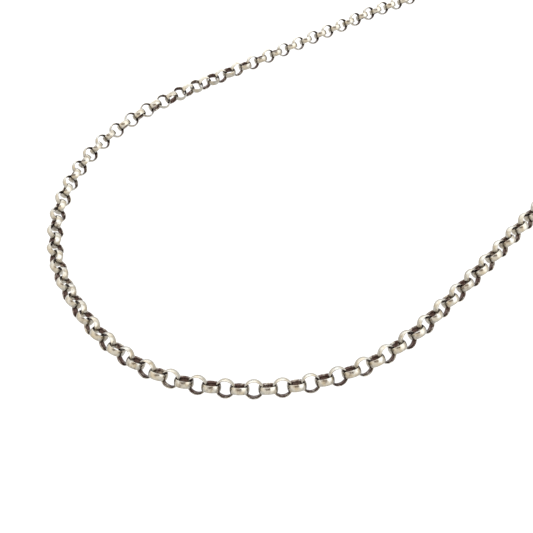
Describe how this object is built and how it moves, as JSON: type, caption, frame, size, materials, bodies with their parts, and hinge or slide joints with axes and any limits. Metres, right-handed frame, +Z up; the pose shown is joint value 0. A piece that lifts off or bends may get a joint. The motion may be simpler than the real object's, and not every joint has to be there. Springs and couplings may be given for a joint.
{
  "type": "rolo chain necklace",
  "caption": "Closed neck chain of round domed band links, lying flat in a loose loop and fastened by a small spring ring.",
  "frame": {"origin": "on the surface that the chain lies on, under the middle of the loop's bounding box", "axes": "+Z up from that surface, +Y away from the viewer of the picture, +X to the viewer's right"},
  "size_m": [0.1781, 0.158, 0.0041],
  "materials": {
    "chain": "polished silver under a warm brown tarnish, darker inside the links",
    "clasp": "polished silver with a light warm tarnish"
  },
  "bodies": {
    "root": {"right_chain": "chain", "left_chain": "chain", "clasp": "clasp"}
  },
  "joints": []
}
